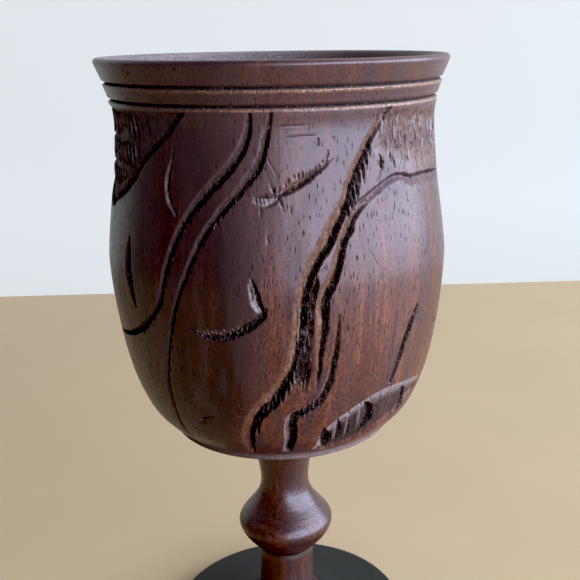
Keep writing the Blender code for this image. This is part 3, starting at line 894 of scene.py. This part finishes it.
# Painted shade: a dark band round the crease under the knop, which lies in shadow.
crease_shade = np.exp(-(((stem_line[1:-1, 1] - CREASE_HEIGHT) / 1.1) ** 2)) * 0.8
crease_shade = np.repeat(crease_shade[:, None], STEM_COLUMNS, axis=1)
stem = sweep("turned_stem", stem_line, STEM_COLUMNS, marks={"dark": crease_shade})
foot = sweep("turned_foot", foot_outline(), FOOT_COLUMNS, closed=True)
for piece, node, slot in ((stem, "stem", "stem_wood"), (foot, "foot", "foot_wood")):
    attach(piece, "root")
    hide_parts(node)
print("stem and foot turned")

# %% [markdown]
# ## The wood
# The cup is a dense dark hardwood of the rosewood kind, turned with the grain upright. Three things
# make it read as that wood. Growth rings cut by the turned side show as upright bands of brown, plum
# and near-black. Open pores show as short dark dashes. And a thin wax finish leaves the
# wood's colour deep, with a soft broad shine. The rings are cylinders about a pith off to one side, so the
# bands bend round the cup and close into loops on the front and back, as they do in a real block.

# %% Find the rings and the pores
PORE_CELL = (0.00056, 0.0038)
PORE_FULLNESS = 0.29


def ring_bands(finish, pith, spacing):
    """Growth rings about an upright pith: how far out a point is, in rings and in metres."""
    wander_by = finish.grain(0.03, 0.12, 2.0)
    fine_wander = finish.grain(0.006, 0.05, 2.0)
    from_pith = finish.node("ShaderNodeVectorMath", {"operation": "SUBTRACT"}, {0: finish.place, 1: pith})
    level = finish.node("ShaderNodeVectorMath", {"operation": "MULTIPLY"}, {0: from_pith, 1: (1, 1, 0)})
    distance = finish.node("ShaderNodeVectorMath", {"operation": "LENGTH"}, {0: level}, "Value")
    settled = distance + (wander_by - 0.5) * 0.008 + (fine_wander - 0.5) * 0.0015
    return settled / spacing, settled


def pores(finish):
    """Short upright dashes where the open pores are cut lengthwise, crowded here and rare there."""
    settings = {"feature": "F1", "distance": "EUCLIDEAN"}
    sockets = {"Vector": finish.stretched(*PORE_CELL), "Scale": 1.0, "Randomness": 1.0}
    near = finish.node("ShaderNodeTexVoronoi", settings, sockets, "Distance")
    crowd = finish.grain(0.008, 0.02, 2.0)
    return (1 - near.between(PORE_FULLNESS / 2, PORE_FULLNESS) + (crowd - 0.57) * 1.4).held()


print(f"pores are {2 * PORE_FULLNESS * PORE_CELL[1] * 1000:.1f} mm long at most")

# %% [markdown]
# ## What the gouge leaves
# The bowl's mesh carries four numbers at each point: dark for the floor and right wall of a cut, stained
# and painted with shade; bare for its left bank, worn and painted lighter where the window lights it;
# pale for painted highlights on splinters, edges, the foot band and the lit inside of the mouth; and cut
# for any place the tool touched. The nodes below turn them into colour, and fine noise breaks their edges
# up, as torn fibre does.

# %% Colour the cuts
# The bank colours lighten the left bank for wear and as painted light. The next pair are painted highlights
# in the lavender of the window's reflection. The floor colours are stain deepened by painted shade.
BANK_COLOURS = ((0.035, 0.014, 0.008), (0.50, 0.27, 0.15))
HIGHLIGHT_COLOURS = ((0.09, 0.065, 0.062), (0.36, 0.31, 0.32))
FLOOR_COLOURS = ((0.003, 0.002, 0.0015), (0.14, 0.092, 0.060))
CRUMB_COLOUR = (0.012, 0.007, 0.005)
# The colour of the painted shade in the stem's crease.
CREASE_SHADE_COLOUR = (0.006, 0.004, 0.003)
MOST_WAX = 0.25


def worked_surface(finish, colour, rough, relief, dashes):
    """The surface after the gouge, the staining and the painted light and shade: its colour, roughness,
    relief and wax.
    """
    dark, bare, pale, cut = (finish.stored(label) for label in ("dark", "bare", "pale", "cut"))
    torn = finish.grain(0.00036, 0.0020, 4.0, 0.7)
    crumbs = finish.grain(0.00032, 0.0005, 3.0, 0.75)
    patchy = finish.grain(0.0012, 0.004, 3.0, 0.6)
    flecks = torn.between(0.38, 0.62) * 0.5 + crumbs.between(0.42, 0.58) * 0.5
    # The left bank's colour is worn wood with painted light on it, where it faces the window.
    wear_and_light = bare * (0.2 + patchy * 0.8 + (torn - 0.4) * 0.8 + (crumbs - 0.5) * 2.6)
    colour = finish.blend(wear_and_light.held(), colour, finish.blend(flecks, *BANK_COLOURS))
    dirt_and_shade = (cut * crumbs.between(0.55, 0.62) * 0.85).held()
    colour = finish.blend(dirt_and_shade, colour, CRUMB_COLOUR)
    # Painted highlight: the pale mask blends towards the lavender grey of the window's reflection.
    painted_sheen = pale * (0.5 + patchy * 0.5)
    colour = finish.blend(painted_sheen.held(), colour, finish.blend(flecks, *HIGHLIGHT_COLOURS))
    # Stain with painted shade: the dark mask blends towards the near-black floor colour.
    stain_and_shade = (dark * (0.55 + patchy * 0.85) + (dark - 0.6) * (torn - 0.45) * 1.5).held()
    fibre = finish.blend((torn * 0.5 + crumbs * 0.5).between(0.51, 0.63), *FLOOR_COLOURS)
    colour = finish.blend(stain_and_shade * 0.96, colour, fibre)
    rough = rough + cut * 0.10 + dark * 0.5
    relief = relief + (torn - 0.5) * (cut * 2.5 + dark * 5.0) + (crumbs - 0.5) * cut * 2.0
    return colour, rough, relief, ((1 - dashes - stain_and_shade - cut * 0.5) * MOST_WAX).held()


def crease_shaded_surface(finish, colour, rough, relief, dashes):
    """The surface of a plain turned piece, with painted shade in its crease."""
    dirt_and_shade = finish.stored("dark")
    colour = finish.blend(dirt_and_shade, colour, CREASE_SHADE_COLOUR)
    return colour, rough + dirt_and_shade * 0.3, relief, ((1 - dashes - dirt_and_shade) * MOST_WAX).held()


print("cuts coloured")

# %% Mix the wood
PITH = (0.12, 0.03, 0.0)
STEM_PITH = (0.03, 0.05, 0.0)
WEDGE_PITH = (0.01, 0.02, 0.0)
FIGURE_COLOUR = (0.036, 0.018, 0.020)
PLUM_COLOUR = (0.052, 0.027, 0.027)
PORE_COLOUR = (0.006, 0.003, 0.0025)


def wood(name, pith, shades, shine=0.42, surface=crease_shaded_surface, ring=0.0035, shade_from=0.142, plum=0.0):
    """Rosewood-like timber under thin wax. The shades are its dark, middle and light colours."""
    finish = Finish(name)
    across_rings, from_pith = ring_bands(finish, pith, ring)
    height = finish.node("ShaderNodeSeparateXYZ", None, {0: finish.place}, "Z")
    ring_place = finish.node("ShaderNodeCombineXYZ", None, {0: across_rings, 1: height / 0.12})
    wave = finish.cloud(ring_place, 5.0, 0.62)
    streak = finish.grain(0.0009, 0.03, 4.0, 0.6)
    fine = finish.grain(0.0004, 0.008, 3.0, 0.65)
    blotch = finish.grain(0.018, 0.04, 3.0, 0.55)
    speck = finish.grain(0.00034, 0.0009, 3.0, 0.75)
    # Painted shade: beyond this distance from the pith the wood is darker, which on the bowl is its left
    # side, away from the window.
    far_side_shade = from_pith.between(shade_from, shade_from + 0.006)
    tone = wave * 0.9 + streak * 0.6 + fine * 0.8 + speck.between(0.36, 0.64) * 0.3 + blotch * 0.5
    tone = (tone - 1.05 - far_side_shade * 0.38).held()
    colour = finish.node("ShaderNodeValToRGB", {"stops": list(zip((0.12, 0.5, 0.88), shades))}, {0: tone})
    figure = finish.grain(0.0045, 0.09, 3.0, 0.6)
    colour = finish.blend(figure.between(0.47, 0.6) * 0.6, colour, FIGURE_COLOUR)
    colour = finish.blend(height.between(0.09, 0.14) * plum, colour, PLUM_COLOUR)
    dashes = pores(finish)
    colour = finish.blend(dashes * 0.92, colour, PORE_COLOUR)
    lathe = finish.grain(0.05, 0.00035, 2.0)
    sanded = finish.grain(0.012, 0.0003, 3.0, 0.65)
    rough = shine + dashes * 0.5 + (fine - 0.5) * 0.12 + (blotch - 0.5) * 0.10
    rough = rough + (sanded - 0.5) * 0.18 + (speck - 0.5) * 0.16
    relief = (fine - 0.5) * 0.4 - dashes * 0.35 + (streak - 0.5) * 0.3 + (lathe - 0.5) * 0.5
    relief = relief + (sanded - 0.5) * 0.6 + (speck - 0.5) * 0.5
    colour, rough, relief, waxed = surface(finish, colour, rough, relief, dashes)
    bump = finish.node("ShaderNodeBump", None, {"Strength": 0.55, "Distance": 0.00009, "Height": relief})
    finish.feed(finish.shader, {"Base Color": colour, "Roughness": rough.held(), "Normal": bump,
                                "IOR": 1.5, "Specular Tint": (1.0, 0.86, 0.92), "Coat Weight": waxed,
                                "Coat Roughness": 0.25, "Coat IOR": 1.45})
    return finish.material


BOWL_SHADES = ((0.017, 0.005, 0.0035), (0.075, 0.021, 0.012), (0.175, 0.058, 0.030))
STEM_SHADES = ((0.015, 0.005, 0.0035), (0.055, 0.018, 0.011), (0.140, 0.046, 0.024))
WEDGE_SHADES = ((0.20, 0.12, 0.055), (0.38, 0.25, 0.13), (0.52, 0.37, 0.21))
bowl_wood = wood("waxed rosewood", PITH, BOWL_SHADES, surface=worked_surface, plum=0.55)
stem_wood = wood("waxed rosewood stem", STEM_PITH, STEM_SHADES, shine=0.31, ring=0.0026, shade_from=0.2)
bowl.data.materials.append(bowl_wood)
stem.data.materials.append(stem_wood)
print("rosewood mixed")

# %% [markdown]
# ## Foot, wedge and felt
# The foot is stained black, the way pale wood is ebonised with iron and vinegar and then waxed. A little
# grey bloom and the grain still show through. The wedge is a slip of paler unstained hardwood, and the
# baize glued over it, under the foot, keeps the foot from scratching a table.

# %% Mix the ebonised foot, the wedge and the felt
EBONY_SHADES = ((0.008, 0.0078, 0.0062), (0.024, 0.023, 0.019))
BAIZE_SHADES = ((0.006, 0.028, 0.014), (0.022, 0.085, 0.042))


def ebonised():
    """Black stained wood with a grey bloom and soft wax."""
    finish = Finish("ebonised wood")
    grain = finish.grain(0.004, 0.004, 5.0, 0.6, 0.4)
    lying = {"Vector": finish.place, "Scale": (1 / 0.0007, 1 / 0.02, 1 / 0.02)}
    streak = finish.cloud(finish.node("ShaderNodeMapping", None, lying), 3.0, 0.6)
    tone = (grain * 0.6 + streak * 0.6 - 0.2).held()
    colour = finish.node("ShaderNodeValToRGB", {"stops": list(zip((0.2, 0.8), EBONY_SHADES))}, {0: tone})
    relief = (streak - 0.5) * 0.6 + (grain - 0.5) * 0.3
    bump = finish.node("ShaderNodeBump", None, {"Strength": 0.4, "Distance": 0.00008, "Height": relief})
    roughness = 0.5 + tone * 0.16
    finish.feed(finish.shader, {"Base Color": colour, "Roughness": roughness, "Normal": bump, "IOR": 1.38})
    return finish.material


def baize():
    """Green felt: short fibres pressed flat, with a soft sheen."""
    finish = Finish("green baize")
    fibres = finish.grain(0.0004, 0.0004, 5.0, 0.7, 1.5)
    clumps = finish.grain(0.004, 0.004, 3.0)
    colour = finish.blend((fibres * 0.8 + clumps * 0.5 - 0.2).held(), *BAIZE_SHADES)
    bump = finish.node("ShaderNodeBump", None, {"Strength": 0.9, "Distance": 0.0002, "Height": fibres})
    finish.feed(finish.shader, {"Base Color": colour, "Roughness": 0.95, "Normal": bump,
                                "Sheen Weight": 0.5})
    return finish.material


foot.data.materials.append(ebonised())
kept_nodes = {"base_felt": baize(), "foot_wedge": wood("wedge wood", WEDGE_PITH, WEDGE_SHADES)}
for node, material in kept_nodes.items():
    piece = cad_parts[node]
    for held in piece.material_slots:
        held.material = material
    if not piece.material_slots:
        piece.data.materials.append(material)
print("foot, wedge and felt finished")

# %% [markdown]
# ## Table, wall and window
# The chalice stands on a pale table that ends a short way behind it, in front of a cool white wall. The
# light is one wide window close on the right, so the left of the cup falls into shade and the gouge cuts
# show a lit left bank and a black right wall. A weak fill keeps the shaded side readable. The table and
# the wall reach further to the right than to the left, so that the shaded side has less to mirror.

# %% Build the table and the wall
TABLE_LEFT, TABLE_RIGHT = -0.6, 1.6
TABLE_NEAR, TABLE_FAR = -0.9, 0.33
WALL_LEFT, WALL_RIGHT = -1.5, 2.6
WALL_FOOT, WALL_TOP = -1.2, 1.8
WALL_AT = 0.62


def plane(name, corners, material):
    """A flat face with that material, kept out of the object."""
    mesh = bpy.data.meshes.new(name)
    mesh.from_pydata(corners, [], [(0, 1, 2, 3)])
    mesh.materials.append(material)
    made = bpy.data.objects.new(name, mesh)
    bpy.context.scene.collection.objects.link(made)
    return made


def plain(name, colour, roughness, spread=0.0, cell=0.05, glow=(0, 0, 0)):
    """A nearly even matt finish with slow changes of tone."""
    finish = Finish(name)
    tone = finish.grain(cell, cell, 2.0)
    shade = tuple(channel * (1 - spread) for channel in colour)
    finish.feed(finish.shader, {"Base Color": finish.blend(tone, shade, colour), "Roughness": roughness,
                                "Emission Color": glow, "Emission Strength": 1.0})
    return finish.material


table_corners = [(TABLE_LEFT, TABLE_NEAR, 0), (TABLE_RIGHT, TABLE_NEAR, 0), (TABLE_RIGHT, TABLE_FAR, 0),
                 (TABLE_LEFT, TABLE_FAR, 0)]
wall_corners = [(WALL_LEFT, WALL_AT, WALL_FOOT), (WALL_RIGHT, WALL_AT, WALL_FOOT),
                (WALL_RIGHT, WALL_AT, WALL_TOP), (WALL_LEFT, WALL_AT, WALL_TOP)]
table = plane("table", table_corners, plain("pale table", (0.54, 0.385, 0.225), 0.5, 0.12))
wall_finish = plain("white wall", (0.09, 0.088, 0.083), 0.8, glow=(0.64, 0.67, 0.69))
wall = plane("wall", wall_corners, wall_finish)
print(f"table ends {TABLE_FAR * 1000:.0f} mm behind the axis, wall at {WALL_AT * 1000:.0f} mm")

# %% Hang the lights
CUP_MIDDLE = Vector((0, 0, 0.105))
BLACK_LEVEL = (0.019, 0.019, 0.019)


def window(name, azimuth, elevation, distance, wide, tall, power, colour):
    """A soft rectangular light aimed at the middle of the cup, azimuth 0 in front and 90 on the right."""
    data = bpy.data.lights.new(name, "AREA")
    data.shape = "RECTANGLE"
    data.size, data.size_y = wide, tall
    data.energy, data.color = power, colour
    made = bpy.data.objects.new(name, data)
    bpy.context.scene.collection.objects.link(made)
    turn, lift = math.radians(azimuth), math.radians(elevation)
    away = Vector((math.sin(turn) * math.cos(lift), -math.cos(turn) * math.cos(lift), math.sin(lift)))
    made.location = CUP_MIDDLE + away * distance
    made.rotation_euler = away.to_track_quat("Z", "Y").to_euler()


window("window", 59, 8, 1.1, 3.1, 1.15, 112.0, (0.66, 0.79, 1.0))
window("wall light", 150, 55, 1.3, 1.2, 0.8, 8.0, (1.0, 0.97, 0.92))
window("fill", -100, 35, 1.4, 1.0, 1.0, 1.1, (1.0, 0.84, 0.86))
world = bpy.data.worlds.new("room")
world.use_nodes = True
room = world.node_tree.nodes["Background"].inputs
room["Color"].default_value = (0.80, 0.86, 0.92, 1)
room["Strength"].default_value = 0.10
bpy.context.scene.world = world
shown = bpy.context.scene.view_settings
shown.view_transform = "Standard"
shown.use_curve_mapping = True
shown.curve_mapping.black_level = BLACK_LEVEL
shown.curve_mapping.update()
print("lights hung")
